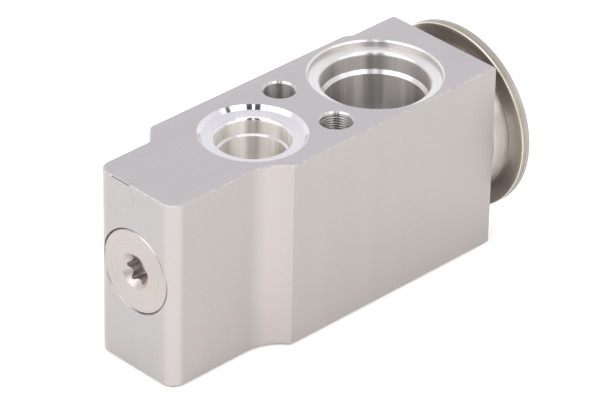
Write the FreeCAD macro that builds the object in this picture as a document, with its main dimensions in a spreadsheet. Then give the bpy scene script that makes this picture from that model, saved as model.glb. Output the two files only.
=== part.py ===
import FreeCAD, Part
import math
import os
import Sketcher

# Block-type expansion valve for a refrigerant circuit, in millimetres.
# The base face rests on the XY plane, +Z points out of the port face and +X runs from the
# adjusting screw to the thermal head. The origin lies on the base face, midway between the
# two fixing holes.

os.makedirs("parts", exist_ok=True)
doc = FreeCAD.newDocument("expansion_valve")
Vector = FreeCAD.Vector

# Driving dimensions, one named cell each

driving = {
    # block outline, seen from above
    "blockWidth": 27.45,
    "blockHeight": 38.0,
    "screwEndReach": 42.4,      # from the fixing holes to the screw end face
    "headEndReach": 35.1,       # from the fixing holes to the head end face
    "noseWidth": 19.9,          # narrow stretch at the screw end
    "noseCornerRadius": 2.8,
    "reliefRadius": 9.0,        # hollow blend on the near side
    "nearShoulder": 16.6,       # sharp corner where the near side reaches full width
    "farShoulder": 26.0,        # same on the far side, at the top of a 45 degree ramp
    "farFlatStart": 22.5,       # shallow flat on the far side, towards the head
    "farFlatDepth": 0.9,
    "farFlatRamp": 1.6,
    "edgeBreak": 0.25,
    # fixing holes
    "holeSpacing": 14.8,
    "clearHoleRadius": 2.9,
    "tappedHoleRadius": 3.0,
    "tappedHoleDepth": 15.0,
    "holeChamfer": 0.35,
    # liquid inlet on the port face
    "portShift": 0.4,           # the ports' line lies this far to the near side
    "liquidStation": 14.05,
    "liquidRimRadius": 10.1,
    "liquidRimDepth": 0.75,
    "liquidLedgeRadius": 9.35,
    "liquidRoundRadius": 0.75,  # rounding from the shallow cone into the seal wall
    "liquidSealRadius": 6.9,
    "liquidSealEnd": 4.25,
    "liquidShoulderDepth": 0.28,
    "liquidBoreRadius": 6.4,
    "liquidFloorRise": 5.8,     # floor of the inlet bore above the valve axis
    # suction passage, port face and base face
    "suctionStation": 17.0,
    "suctionRimRadius": 12.75,
    "suctionRimDepth": 0.3,
    "suctionStepRadius": 12.45, # top of the steep step below the rim's bevel
    "suctionLedgeRadius": 12.3,
    "suctionLedgeDepth": 1.1,
    "suctionRoundRadius": 0.75,
    "suctionSealRadius": 10.2,
    "suctionSealEnd": 4.85,
    "suctionBoreRadius": 9.55,
    "suctionBoreDepth": 13.4,
    "passageRadius": 9.0,
    "baseBoreDepth": 13.0,
    "baseSuctionRim": 11.2,
    # liquid outlet on the base face
    "outletStation": 9.4,
    "outletRim": 7.9,
    "outletBoreDepth": 9.6,
    "riserStation": 6.3,
    "riserRadius": 3.0,
    # stepped bore along the valve axis
    "axisHeight": 20.6,
    "threadRunout": 0.8,        # tapped length left past the screw when it is fully in
    "chamberRadius": 7.0,
    "seatStation": 12.9,
    "seatRadius": 4.5,
    "seatLength": 3.5,
    "galleryRadius": 3.75,
    "galleryPastRiser": 0.2,
    "pinBoreLength": 3.4,
    "glandRadius": 4.7,
    "glandDepth": 3.85,
    "ventRadius": 5.8,
    "neckBoreDepth": 6.5,
    "neckRadius": 10.0,
    # adjusting screw
    "screwRadius": 8.1,
    "screwThreadLength": 6.5,
    "screwBevel": 0.2,
    "screwSealSection": 1.3,
    "screwSealSetback": 1.9,    # from the end of the nose to the middle of its seal
    "screwRunIn": 0.6,          # bevel from the thread down to the nose
    "sealGrooveRoom": 0.2,      # left beside the seal in its groove, on either side
    "springCupRadius": 5.0,
    "springCupDepth": 2.0,
    "socketTip": 2.8,           # centre of the socket to the tip of a lobe
    "socketRoot": 2.2,          # centre of the socket to the flank between lobes
    "socketLobeRadius": 0.55,
    "socketMouthRadius": 3.5,   # round 45 degree bevel at the face
    "socketDepth": 3.6,
    "screwTravelIn": 2.0,
    # valve train
    "liftTravel": 0.8,
    "orificeRadius": 2.0,
    "seatMouthRadius": 2.6,
    "ballRadius": 3.0,
    "pinRadius": 1.2,
    "rodRadius": 2.9,
    "rodEndRoom": 0.4,
    "carrierCupRadius": 2.4,
    "carrierCupFloor": 0.84,
    "carrierLandRadius": 3.6,
    "carrierLandLength": 1.4,
    "carrierFlangeRadius": 4.9,
    "carrierFlangeLength": 1.2,
    "carrierSpigotRadius": 3.15,
    "carrierSpigotLength": 2.2,
    "springWire": 1.3,
    "springPlay": 0.15,         # between the spring and the carrier's spigot
    "springPitch": 2.47,        # from one working turn to the next
    "clipSheet": 0.3,
    "clipLegWidth": 2.6,
    "clipWallGap": 0.3,
    "sleeveRadius": 3.7,
    "sleeveLength": 14.5,
    "rodSealSection": 1.7,
    "rodSealStation": 1.0,
    "retainerSheet": 0.45,
    "retainerPlay": 0.15,
    "retainerSlotDepth": 1.0,
    "retainerStation": 0.9,
    # thermal head
    "collarRadius": 15.1,
    "collarFlange": 2.6,
    "collarNeckLength": 6.1,
    "collarNeckBevel": 0.5,
    "stopRecessRadius": 12.2,
    "rimOverhang": 3.4,         # rim radius less the collar's
    "rimRounding": 0.25,
    "lowerSheet": 0.9,
    "lowerStep": 0.5,
    "lowerStepRun": 0.75,
    "lowerStepSetback": 1.0,    # the step ends this far inside the collar's rim, out of sight
    "upperSheet": 1.0,
    "diaphragmSheet": 0.15,
    "diaphragmInset": 0.05,     # rim radius less the diaphragm's
    "diaphragmWave": 0.35,
    "stopRadius": 11.0,
    "stopThickness": 1.4,
    "stopBossRadius": 5.0,
    "stopBossLength": 2.2,
    "rimFlat": 4.3,             # width of the flat ring outside the dome
    "domeRise": 2.6,
    "domeTopRadius": 4.0,
    "fillHoleRadius": 1.3,
    "plugHeadRadius": 2.3,
    "plugHeadRise": 1.0,
    "headSealSection": 1.2,
    # clearances
    "slideClearance": 0.05,
    "sealClearance": 0.03,
    "seatGap": 0.02,
    "threadClearance": 0.08,
}

sheet = doc.addObject("Spreadsheet::Sheet", "Sizes")
for row, (alias, millimetres) in enumerate(driving.items(), start=1):
    sheet.set(f"A{row}", alias)
    sheet.set(f"B{row}", str(millimetres))
    sheet.setAlias(f"B{row}", alias)
doc.recompute()


class Size:
    """A length that knows its number and the sheet expression that gives it."""

    def __init__(self, number, text):
        self.number = number
        self.text = text

    def __add__(self, other):
        other = asSize(other)
        return Size(self.number + other.number, f"({self.text} + {other.text})")

    def __sub__(self, other):
        other = asSize(other)
        return Size(self.number - other.number, f"({self.text} - {other.text})")

    def __mul__(self, factor):
        factor = asSize(factor)
        return Size(self.number * factor.number, f"({self.text} * {factor.text})")

    def __truediv__(self, divisor):
        divisor = asSize(divisor)
        return Size(self.number / divisor.number, f"({self.text} / {divisor.text})")

    def __neg__(self):
        return Size(-self.number, f"(-1 * {self.text})")


def asSize(value):
    if isinstance(value, Size):
        return value
    return Size(float(value), repr(float(value)))


def size(alias):
    return Size(float(getattr(sheet, alias)), f"Sizes.{alias}")


zero = asSize(0)
rootTwo = math.sqrt(2)
fullTurn = 360
tolerance = 1e-6
drillTip = 1 / math.tan(math.radians(59))   # rise of a drill point for each radius
mouthSlope = math.radians(8)    # of the shallow cone in both port mouths
noseShare = 0.387       # part of the room from the screw's thread to the clip that its nose takes
legShare = 0.415        # part of the room from the clip to the screw's nose that its legs take
clipLegs = 3
retainerTeeth = 6


# Helpers that bind sketches, features and placements to the sheet

def bind(item, prop, value):
    item.setExpression(prop, asSize(value).text)


def place(item, x=zero, y=zero, z=zero):
    """Puts an object at a point given by sheet expressions."""
    for axis, value in (("x", x), ("y", y), ("z", z)):
        bind(item, f".Placement.Base.{axis}", value)


def newBody(label):
    body = doc.addObject("PartDesign::Body", label)
    body.Label = label
    return body


def newSketch(body, name, plane="XZ_Plane", shiftX=zero, shiftY=zero, shiftZ=zero):
    """Sketch on one of the body's own origin planes, moved in that plane's axes."""
    sketch = body.newObject("Sketcher::SketchObject", name)
    support = [item for item in body.Origin.OriginFeatures if item.Role == plane][0]
    sketch.AttachmentSupport = [(support, "")]
    sketch.MapMode = "FlatFace"
    for axis, value in (("x", shiftX), ("y", shiftY), ("z", shiftZ)):
        bind(sketch, f".AttachmentOffset.Base.{axis}", value)
    return sketch


def pin(sketch, geometry, end, along, across):
    """Holds one end of a curve at a point of the sketch."""
    for axis, name, value in ((-2, "DistanceX", along), (-1, "DistanceY", across)):
        value = asSize(value)
        if value.number == 0:
            sketch.addConstraint(Sketcher.Constraint("PointOnObject", geometry, end, axis))
            continue
        index = sketch.addConstraint(
            Sketcher.Constraint(name, -1, 1, geometry, end, value.number))
        sketch.setExpression(f"Constraints[{index}]", value.text)


def sideCurve(start, finish, radius):
    """Line, or the anticlockwise arc of a signed radius; a positive one bulges to the left."""
    if radius == 0:
        return Part.LineSegment(start, finish)
    chord = finish - start
    toCentre = Vector(chord.y, -chord.x, 0).normalize()
    rise = math.sqrt(radius ** 2 - (chord.Length / 2) ** 2)
    centre = (start + finish) / 2 + toCentre * math.copysign(rise, radius)
    if radius > 0:
        start, finish = finish, start
    first = math.atan2(start.y - centre.y, start.x - centre.x)
    last = math.atan2(finish.y - centre.y, finish.x - centre.x)
    if last < first:
        last += 2 * math.pi
    return Part.ArcOfCircle(Part.Circle(centre, Vector(0, 0, 1), abs(radius)), first, last)


def drawOutline(sketch, corners, arcs=None):
    """Closed outline through corners; arcs maps the number of a side to its signed radius.

    Turned profiles run clockwise from the axis, so there a positive radius swells the piece.
    """
    arcs = arcs or {}
    points = [Vector(asSize(along).number, asSize(across).number, 0) for along, across in corners]
    following = points[1:] + points[:1]
    radii = [asSize(arcs.get(side, 0)) for side in range(len(points))]
    firstEnd = [2 if radius.number > 0 else 1 for radius in radii]
    lastEnd = [1 if radius.number > 0 else 2 for radius in radii]
    for start, finish, radius in zip(points, following, radii):
        sketch.addGeometry(sideCurve(start, finish, radius.number), False)
    for side in range(len(points)):
        after = (side + 1) % len(points)
        sketch.addConstraint(Sketcher.Constraint("Coincident", side, lastEnd[side], after, firstEnd[after]))
    for side, (along, across) in enumerate(corners):
        pin(sketch, side, firstEnd[side], along, across)
    for side, radius in enumerate(radii):
        if radius.number == 0:
            continue
        length = radius if radius.number > 0 else -radius
        index = sketch.addConstraint(Sketcher.Constraint("Radius", side, length.number))
        sketch.setExpression(f"Constraints[{index}]", length.text)


def revolve(body, sketch, kind="PartDesign::Revolution", axis="H_Axis"):
    feature = body.newObject(kind, f"{sketch.Name}_turn")
    feature.Profile = sketch
    feature.ReferenceAxis = (sketch, [axis])
    feature.Angle = fullTurn
    sketch.Visibility = False
    return feature


def turned(label, corners, arcs=None, x=zero):
    """Piece turned about the valve axis; corners are (along the axis, radius)."""
    body = newBody(label)
    sketch = newSketch(body, f"{label}_profile")
    drawOutline(sketch, corners, arcs)
    revolve(body, sketch)
    place(body, x=x, z=size("axisHeight"))
    return body


def bore(body, name, corners, x=zero, y=zero, z=zero, arcs=None):
    """Round cut about a vertical line; corners are (radius, height above z)."""
    sketch = newSketch(body, name, "XZ_Plane", x, z, -asSize(y))
    drawOutline(sketch, corners, arcs)
    return revolve(body, sketch, "PartDesign::Groove", "V_Axis")


def ring(label, section, middleRadius, x):
    """O-ring about the valve axis."""
    torus = doc.addObject("Part::Torus", label)
    torus.Label = label
    bind(torus, "Radius1", middleRadius)
    bind(torus, "Radius2", section / 2)
    torus.Placement = FreeCAD.Placement(Vector(), FreeCAD.Rotation(Vector(0, 1, 0), 90))
    place(torus, x=x, z=size("axisHeight"))
    return torus


# Stations along the valve axis, worked out from the driving dimensions

screwFace = -size("screwEndReach")
screwBoreDepth = size("screwThreadLength") + size("screwTravelIn") + size("threadRunout")
chamberStart = screwFace + screwBoreDepth
seatFace = -size("seatStation")
galleryStart = seatFace + size("seatLength")
galleryEnd = size("riserRadius") - size("riserStation") + size("galleryPastRiser")
rodBoreStart = galleryEnd + size("pinBoreLength")
passageNear = size("suctionStation") - size("passageRadius")
passageFar = size("suctionStation") + size("passageRadius")
glandStart = passageNear - size("glandDepth")
headFace = size("headEndReach")
neckBoreStart = headFace - size("neckBoreDepth")
collarFace = headFace + size("collarFlange")
diaphragmFace = collarFace + size("lowerSheet") + size("lowerStep")
rodBoreRadius = size("rodRadius") + size("slideClearance")
pinBoreRadius = size("pinRadius") + size("slideClearance")
screwBoreRadius = size("screwRadius") + size("threadClearance")
neckBoreRadius = size("neckRadius") + size("sealClearance")
headSealRecess = size("headSealSection") + size("sealClearance") * 2
headSealMiddle = neckBoreRadius + size("headSealSection") / 2
headSealRecessRadius = headSealMiddle + size("headSealSection") / 2 + size("slideClearance")
rimRadius = size("collarRadius") + size("rimOverhang")
domeRadius = rimRadius - size("rimFlat")

ballCentre = seatFace + size("seatMouthRadius") - (size("ballRadius") + size("seatGap")) * rootTwo
ballTop = ballCentre + size("ballRadius")
carrierFront = ballCentre + size("carrierCupRadius") - size("ballRadius") * rootTwo
clipFace = carrierFront - size("carrierLandLength")
springEnd = clipFace - size("carrierFlangeLength")
screwNoseLength = (clipFace - screwFace - size("screwThreadLength")) * noseShare
screwNoseEnd = screwFace + size("screwThreadLength") + screwNoseLength
clipLegLength = (clipFace - screwNoseEnd) * legShare
springStart = screwNoseEnd - size("springCupDepth")
springMiddle = size("carrierSpigotRadius") + size("springPlay") + size("springWire") / 2
rodStart = rodBoreStart + size("liftTravel") + size("rodEndRoom")


# Valve block

def makeBlockOutline(block):
    """Wide body with a narrow nose: hollow blend on one side, straight ramp on the other."""
    half = size("blockWidth") / 2
    nose = size("noseWidth") / 2
    reach = size("reliefRadius")
    drop = half - nose
    blendLength = Size(
        math.sqrt(reach.number ** 2 - (reach.number - drop.number) ** 2),
        f"sqrt({reach.text}^2 - ({reach.text} - {drop.text})^2)")
    nearCorner = -size("nearShoulder")
    farCorner = -size("farShoulder")
    flatStart = size("farFlatStart")
    corners = [
        (screwFace, -nose),
        (nearCorner - blendLength, -nose),
        (nearCorner, -half),
        (headFace, -half),
        (headFace, half - size("farFlatDepth")),
        (flatStart + size("farFlatRamp"), half - size("farFlatDepth")),
        (flatStart, half),
        (farCorner, half),
        (farCorner - drop, nose),
        (screwFace, nose),
    ]
    sketch = newSketch(block, "block_outline", "XY_Plane")
    drawOutline(sketch, corners, {1: reach})
    pad = block.newObject("PartDesign::Pad", "block_pad")
    pad.Profile = sketch
    bind(pad, "Length", size("blockHeight"))
    sketch.Visibility = False
    doc.recompute()
    return pad


def pickEdges(shape, wanted):
    return [f"Edge{number}" for number, edge in enumerate(shape.Edges, start=1) if wanted(edge)]


def dressBlockEdges(block, pad):
    """Rounded upright corners at the nose and a fine break round both flat faces."""
    faceX = screwFace.number
    height = size("blockHeight").number

    def uprightAtNose(edge):
        box = edge.BoundBox
        onScrewFace = abs(box.XMin - faceX) < tolerance and abs(box.XMax - faceX) < tolerance
        return onScrewFace and box.ZLength > height / 2

    rounding = block.newObject("PartDesign::Fillet", "nose_rounding")
    rounding.Base = (pad, pickEdges(pad.Shape, uprightAtNose))
    bind(rounding, "Radius", size("noseCornerRadius"))
    doc.recompute()

    def onFlatFace(edge):
        box = edge.BoundBox
        atBaseOrTop = abs(box.ZMin) < tolerance or abs(box.ZMin - height) < tolerance
        return box.ZLength < tolerance and atBaseOrTop

    edgeBreak = block.newObject("PartDesign::Chamfer", "edge_break")
    edgeBreak.Base = (rounding, pickEdges(rounding.Shape, onFlatFace))
    bind(edgeBreak, "Size", size("edgeBreak"))
    doc.recompute()


def roundedMouth(ledgeRadius, ledgeDepth, wallRadius, rounding, slope):
    """Ends of the rounding that leads from a cone of the given slope into an upright wall."""
    coneEnd = wallRadius + rounding * (1 - math.sin(slope))
    coneEndDepth = ledgeDepth + (ledgeRadius - coneEnd) * math.tan(slope)
    wallStart = coneEndDepth + rounding * math.cos(slope)
    return coneEnd, coneEndDepth, wallStart


def cutPorts(block):
    """Stepped ports on the port face and plain bevelled ports on the base face."""
    top = size("blockHeight")
    coneEnd, coneEndDepth, wallStart = roundedMouth(
        size("liquidLedgeRadius"), size("liquidRimDepth"), size("liquidSealRadius"),
        size("liquidRoundRadius"), mouthSlope)
    near = -size("portShift")
    liquidFloor = size("axisHeight") + size("liquidFloorRise") - top
    bore(block, "liquid_inlet", [
        (zero, zero),
        (size("liquidRimRadius"), zero),
        (size("liquidLedgeRadius"), -size("liquidRimDepth")),
        (coneEnd, -coneEndDepth),
        (size("liquidSealRadius"), -wallStart),
        (size("liquidSealRadius"), -size("liquidSealEnd")),
        (size("liquidBoreRadius"), -size("liquidSealEnd") - size("liquidShoulderDepth")),
        (size("liquidBoreRadius"), liquidFloor),
        (zero, liquidFloor),
    ], x=-size("liquidStation"), y=near, z=top, arcs={3: -size("liquidRoundRadius")})

    suctionStep = size("suctionSealRadius") - size("suctionBoreRadius")
    baseStep = size("baseSuctionRim") - size("suctionBoreRadius")
    coneEnd, coneEndDepth, wallStart = roundedMouth(
        size("suctionLedgeRadius"), size("suctionLedgeDepth"), size("suctionSealRadius"),
        size("suctionRoundRadius"), mouthSlope)
    bore(block, "suction_passage", [
        (zero, zero),
        (size("baseSuctionRim"), zero),
        (size("suctionBoreRadius"), baseStep),
        (size("suctionBoreRadius"), size("baseBoreDepth")),
        (size("passageRadius"), size("baseBoreDepth")),
        (size("passageRadius"), top - size("suctionBoreDepth")),
        (size("suctionBoreRadius"), top - size("suctionBoreDepth")),
        (size("suctionBoreRadius"), top - size("suctionSealEnd") - suctionStep),
        (size("suctionSealRadius"), top - size("suctionSealEnd")),
        (size("suctionSealRadius"), top - wallStart),
        (coneEnd, top - coneEndDepth),
        (size("suctionLedgeRadius"), top - size("suctionLedgeDepth")),
        (size("suctionStepRadius"), top - size("suctionRimDepth")),
        (size("suctionRimRadius"), top),
        (zero, top),
    ], x=size("suctionStation"), y=near, arcs={9: size("suctionRoundRadius")})

    outletStep = size("outletRim") - size("liquidBoreRadius")
    bore(block, "liquid_outlet", [
        (zero, zero),
        (size("outletRim"), zero),
        (size("liquidBoreRadius"), outletStep),
        (size("liquidBoreRadius"), size("outletBoreDepth")),
        (zero, size("outletBoreDepth")),
    ], x=-size("outletStation"), y=near)

    bore(block, "outlet_riser", [
        (zero, size("outletBoreDepth") / 2),
        (size("riserRadius"), size("outletBoreDepth") / 2),
        (size("riserRadius"), size("axisHeight")),
        (zero, size("axisHeight")),
    ], x=-size("riserStation"), y=near)


def cutFixingHoles(block):
    """Clearance hole right through on the far side, tapped blind hole on the near side."""
    top = size("blockHeight")
    clear = size("clearHoleRadius")
    tapped = size("tappedHoleRadius")
    bevel = size("holeChamfer")
    drillPoint = tapped * drillTip
    bore(block, "clearance_hole", [
        (zero, zero),
        (clear + bevel, zero),
        (clear, bevel),
        (clear, top - bevel),
        (clear + bevel, top),
        (zero, top),
    ], y=size("holeSpacing") / 2)
    bore(block, "tapped_hole", [
        (zero, zero),
        (tapped + bevel, zero),
        (tapped, -bevel),
        (tapped, -size("tappedHoleDepth")),
        (zero, -size("tappedHoleDepth") - drillPoint),
    ], y=-size("holeSpacing") / 2, z=top)


def cutValveBore(block):
    """One stepped bore on the valve axis, from the screw mouth to the head's tapped bore."""
    bevel = size("screwBevel")
    recessStart = headFace - headSealRecess
    sketch = newSketch(block, "valve_bore", "XZ_Plane", zero, size("axisHeight"))
    drawOutline(sketch, [
        (screwFace, zero),
        (screwFace, screwBoreRadius + bevel),
        (screwFace + bevel, screwBoreRadius),
        (chamberStart, screwBoreRadius),
        (chamberStart, size("chamberRadius")),
        (seatFace, size("chamberRadius")),
        (seatFace, size("seatRadius")),
        (galleryStart, size("seatRadius")),
        (galleryStart, size("galleryRadius")),
        (galleryEnd, size("galleryRadius")),
        (galleryEnd, pinBoreRadius),
        (rodBoreStart, pinBoreRadius),
        (rodBoreStart, rodBoreRadius),
        (glandStart, rodBoreRadius),
        (glandStart, size("glandRadius")),
        (size("suctionStation"), size("glandRadius")),
        (size("suctionStation"), size("ventRadius")),
        (neckBoreStart, size("ventRadius")),
        (neckBoreStart, neckBoreRadius),
        (recessStart, neckBoreRadius),
        (recessStart, headSealRecessRadius),
        (headFace, headSealRecessRadius),
        (headFace, zero),
    ])
    revolve(block, sketch, "PartDesign::Groove", "H_Axis")


def makeBlock():
    block = newBody("valve_block")
    pad = makeBlockOutline(block)
    dressBlockEdges(block, pad)
    cuts = (cutPorts, cutFixingHoles, cutValveBore)
    for cut in cuts:
        before = block.Shape.Volume
        cut(block)
        doc.recompute()
        if block.Shape.Volume > before - 1:
            raise RuntimeError(f"{cut.__name__} took nothing from the block")
    return block


# Adjusting screw, its six-lobe socket and its seal

def socketWire(tip, root, lobe):
    """Six round lobes joined by round hollows, each arc tangent to the next."""
    lobeCentre = tip - lobe
    cosine = math.cos(math.radians(30))
    hollow = (lobe ** 2 - lobeCentre ** 2 - root ** 2 + 2 * lobeCentre * root * cosine) / (
        2 * root - 2 * lobeCentre * cosine - 2 * lobe)
    hollowCentre = root + hollow

    def polar(radius, degrees):
        angle = math.radians(degrees)
        return Vector(0, radius * math.cos(angle), radius * math.sin(angle))

    def meeting(lobeAngle, hollowAngle):
        start = polar(lobeCentre, lobeAngle)
        finish = polar(hollowCentre, hollowAngle)
        return start + (finish - start) * (lobe / (lobe + hollow))

    edges = []
    for turn in range(0, 360, 60):
        before = meeting(turn, turn - 30)
        after = meeting(turn, turn + 30)
        following = meeting(turn + 60, turn + 30)
        edges.append(Part.Arc(before, polar(tip, turn), after).toShape())
        edges.append(Part.Arc(after, polar(root, turn + 30), following).toShape())
    return Part.Wire(edges)


def makeScrew():
    nose = size("chamberRadius") - size("slideClearance")
    threadEnd = size("screwThreadLength")
    noseEnd = threadEnd + screwNoseLength
    bevel = size("screwBevel")
    grooveFloor = size("chamberRadius") - size("screwSealSection") - size("sealClearance") * 2
    grooveHalf = size("screwSealSection") / 2 + size("sealGrooveRoom")
    grooveMiddle = noseEnd - size("screwSealSetback")
    shank = turned("screw_shank", [
        (zero, zero),
        (zero, size("screwRadius") - bevel),
        (bevel, size("screwRadius")),
        (threadEnd - size("screwRunIn"), size("screwRadius")),
        (threadEnd, nose),
        (grooveMiddle - grooveHalf, nose),
        (grooveMiddle - grooveHalf, grooveFloor),
        (grooveMiddle + grooveHalf, grooveFloor),
        (grooveMiddle + grooveHalf, nose),
        (noseEnd - bevel, nose),
        (noseEnd, nose - bevel),
        (noseEnd, size("springCupRadius")),
        (noseEnd - size("springCupDepth"), size("springCupRadius")),
        (noseEnd - size("springCupDepth"), zero),
    ], x=screwFace)

    depth = size("socketDepth").number
    root = size("socketRoot").number
    mouth = size("socketMouthRadius").number
    along = Vector(1, 0, 0)
    lobes = Part.Face(socketWire(size("socketTip").number, root, size("socketLobeRadius").number))
    drillPoint = Part.makeCone(root, 0, root * drillTip, along * depth, along)
    mouthBevel = Part.makeCone(mouth, root / 2, mouth - root / 2, Vector(), along)
    socket = doc.addObject("Part::Feature", "screw_socket")
    socket.Shape = lobes.extrude(along * depth).fuse([drillPoint, mouthBevel])
    place(socket, x=screwFace, z=size("axisHeight"))

    screw = doc.addObject("Part::Cut", "adjusting_screw")
    screw.Label = "adjusting_screw"
    screw.Base = shank
    screw.Tool = socket

    sealMiddle = grooveFloor + size("sealClearance") + size("screwSealSection") / 2
    seal = ring("screw_seal", size("screwSealSection"), sealMiddle, screwFace + grooveMiddle)
    return [screw, seal]


# Spring, carrier, clip, ball and seat in the valve chamber

def makeSpring():
    """Compression spring with closed ends: the pitch is one wire at both ends."""
    wire = size("springWire").number
    middle = springMiddle.number
    length = springEnd.number - springStart.number
    pitch = size("springPitch").number
    closed = 0.75
    travel = length - wire
    turns = 2 * closed + (travel - 2 * closed * wire) / pitch
    stations = math.ceil(turns * 12)

    def rise(turn):
        """Height of the wire's centre after so many turns."""
        if turn <= closed:
            return turn * wire
        if turn >= turns - closed:
            return travel - (turns - turn) * wire
        return closed * wire + (turn - closed) * pitch

    points = []
    for step in range(stations + 1):
        turn = turns * step / stations
        angle = 2 * math.pi * turn
        points.append(Vector(wire / 2 + rise(turn), middle * math.cos(angle), middle * math.sin(angle)))
    path = Part.BSplineCurve()
    path.interpolate(points)
    edge = path.toShape()
    start = points[0]
    heading = edge.tangentAt(edge.FirstParameter)
    section = Part.Wire(Part.makeCircle(wire / 2, start, heading))
    spring = doc.addObject("Part::Feature", "superheat_spring")
    spring.Label = "superheat_spring"
    spring.Shape = Part.Wire(edge).makePipeShell([section], True, True)
    place(spring, x=springStart, z=size("axisHeight"))
    return spring


def makeCarrier():
    """Cup for the ball, land for the clip, flange for the spring and spigot inside it."""
    land = size("carrierLandLength")
    flangeEnd = land + size("carrierFlangeLength")
    spigotEnd = flangeEnd + size("carrierSpigotLength")
    cup = size("carrierCupRadius")
    cupFloor = size("carrierCupFloor")
    bevel = size("edgeBreak")
    return turned("ball_carrier", [
        (-cup + cupFloor, zero),
        (-cup + cupFloor, cupFloor),
        (zero, cup),
        (zero, size("carrierLandRadius") - bevel),
        (-bevel, size("carrierLandRadius")),
        (-land, size("carrierLandRadius")),
        (-land, size("carrierFlangeRadius")),
        (-flangeEnd, size("carrierFlangeRadius")),
        (-flangeEnd, size("carrierSpigotRadius")),
        (-spigotEnd + bevel, size("carrierSpigotRadius")),
        (-spigotEnd, size("carrierSpigotRadius") - bevel),
        (-spigotEnd, zero),
    ], x=carrierFront)


def makeClip():
    """Ring on the carrier's land with three legs bent back along the chamber wall."""
    sheetThickness = size("clipSheet")
    innerRadius = size("carrierLandRadius") + size("sealClearance")
    outerRadius = size("carrierFlangeRadius")
    legOuter = size("chamberRadius") - size("clipWallGap")
    legInner = legOuter - sheetThickness
    clip = newBody("damper_clip")
    profile = newSketch(clip, "clip_ring")
    drawOutline(profile, [
        (zero, innerRadius),
        (sheetThickness, innerRadius),
        (sheetThickness, outerRadius),
        (zero, outerRadius),
    ])
    revolve(clip, profile)
    legSketch = newSketch(clip, "clip_leg_profile")
    drawOutline(legSketch, [
        (zero, outerRadius - sheetThickness),
        (sheetThickness, outerRadius - sheetThickness),
        (sheetThickness, legInner + sheetThickness / 2),
        (zero, legOuter),
        (-clipLegLength, legOuter - size("edgeBreak")),
        (-clipLegLength, legInner - size("edgeBreak")),
        (zero, legInner),
    ])
    leg = clip.newObject("PartDesign::Pad", "clip_leg")
    leg.Profile = legSketch
    bind(leg, "Length", size("clipLegWidth"))
    leg.Midplane = True
    legSketch.Visibility = False
    doc.recompute()
    legs = clip.newObject("PartDesign::PolarPattern", "clip_legs")
    legs.Originals = [leg]
    legs.Axis = ([item for item in clip.Origin.OriginFeatures if item.Role == "X_Axis"][0], [""])
    legs.Angle = fullTurn
    legs.Occurrences = clipLegs
    clip.Tip = legs
    # half a turn, so that no leg reaches up into the liquid inlet
    clip.Placement = FreeCAD.Placement(Vector(), FreeCAD.Rotation(Vector(1, 0, 0), 180))
    place(clip, x=clipFace, z=size("axisHeight"))
    return clip


def makeBall():
    ball = doc.addObject("Part::Sphere", "valve_ball")
    ball.Label = "valve_ball"
    bind(ball, "Radius", size("ballRadius"))
    place(ball, x=ballCentre, z=size("axisHeight"))
    return ball


def makeSeat():
    """Pressed ring with a 45 degree seat towards the ball and a flared outlet."""
    mouth = size("seatMouthRadius")
    orifice = size("orificeRadius")
    length = size("seatLength")
    flare = length / 4
    bevel = size("edgeBreak")
    outer = size("seatRadius") - size("seatGap")
    return turned("seat_insert", [
        (zero, mouth),
        (mouth - orifice, orifice),
        (length / 2, orifice),
        (length, orifice + flare),
        (length, outer - bevel),
        (length - bevel, outer),
        (bevel, outer),
        (zero, outer - bevel),
    ], x=seatFace)


# Push pin, sensing rod and what surrounds them

def makePin():
    length = rodStart - ballTop
    radius = size("pinRadius")
    nib = radius / 3
    return turned("push_pin", [
        (zero, zero),
        (zero, radius - nib),
        (nib, radius),
        (length, radius),
        (length, zero),
    ], x=ballTop)


def makeRod():
    """Rod from the push pin, through the gland and the suction passage, into the stop."""
    bevel = size("edgeBreak")
    radius = size("rodRadius")
    length = diaphragmFace - size("stopThickness") / 2 - rodStart
    return turned("sensing_rod", [
        (zero, zero),
        (zero, radius - bevel),
        (bevel, radius),
        (length - bevel, radius),
        (length, radius - bevel),
        (length, zero),
    ], x=rodStart)


def makeSleeve():
    """Plastic sleeve centred in the suction passage, with a bevel at each end."""
    inner = size("rodRadius") + size("seatGap")
    outer = size("sleeveRadius")
    half = size("sleeveLength") / 2
    bevel = size("edgeBreak")
    return turned("rod_sleeve", [
        (-half, inner),
        (half, inner),
        (half, outer - bevel),
        (half - bevel, outer),
        (-half + bevel, outer),
        (-half, outer - bevel),
    ], x=size("suctionStation"))


def makeRodSeal():
    section = size("rodSealSection")
    middle = size("rodRadius") + size("sealClearance") + section / 2
    return ring("rod_seal", section, middle, glandStart + size("rodSealStation"))


def makeRetainer():
    """Dished push nut: a flat ring with six teeth turned towards the rod."""
    thickness = size("retainerSheet")
    outer = size("glandRadius") - size("seatGap")
    hole = size("rodRadius") + size("retainerPlay")
    retainer = turned("rod_seal_retainer", [
        (zero, hole),
        (thickness, hole),
        (thickness, outer),
        (zero, outer),
    ], x=passageNear - size("retainerStation") - thickness)
    slotSketch = newSketch(retainer, "retainer_slot", "YZ_Plane")
    slotHalf = thickness
    drawOutline(slotSketch, [
        (-slotHalf, hole - thickness),
        (slotHalf, hole - thickness),
        (slotHalf, hole + size("retainerSlotDepth")),
        (-slotHalf, hole + size("retainerSlotDepth")),
    ])
    slot = retainer.newObject("PartDesign::Pocket", "retainer_notch")
    slot.Profile = slotSketch
    slot.Type = "ThroughAll"
    slot.Reversed = True
    slotSketch.Visibility = False
    doc.recompute()
    slots = retainer.newObject("PartDesign::PolarPattern", "retainer_notches")
    slots.Originals = [slot]
    slots.Axis = ([item for item in retainer.Origin.OriginFeatures if item.Role == "X_Axis"][0], [""])
    slots.Angle = fullTurn
    slots.Occurrences = retainerTeeth
    retainer.Tip = slots
    return retainer


# Thermal head

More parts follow.
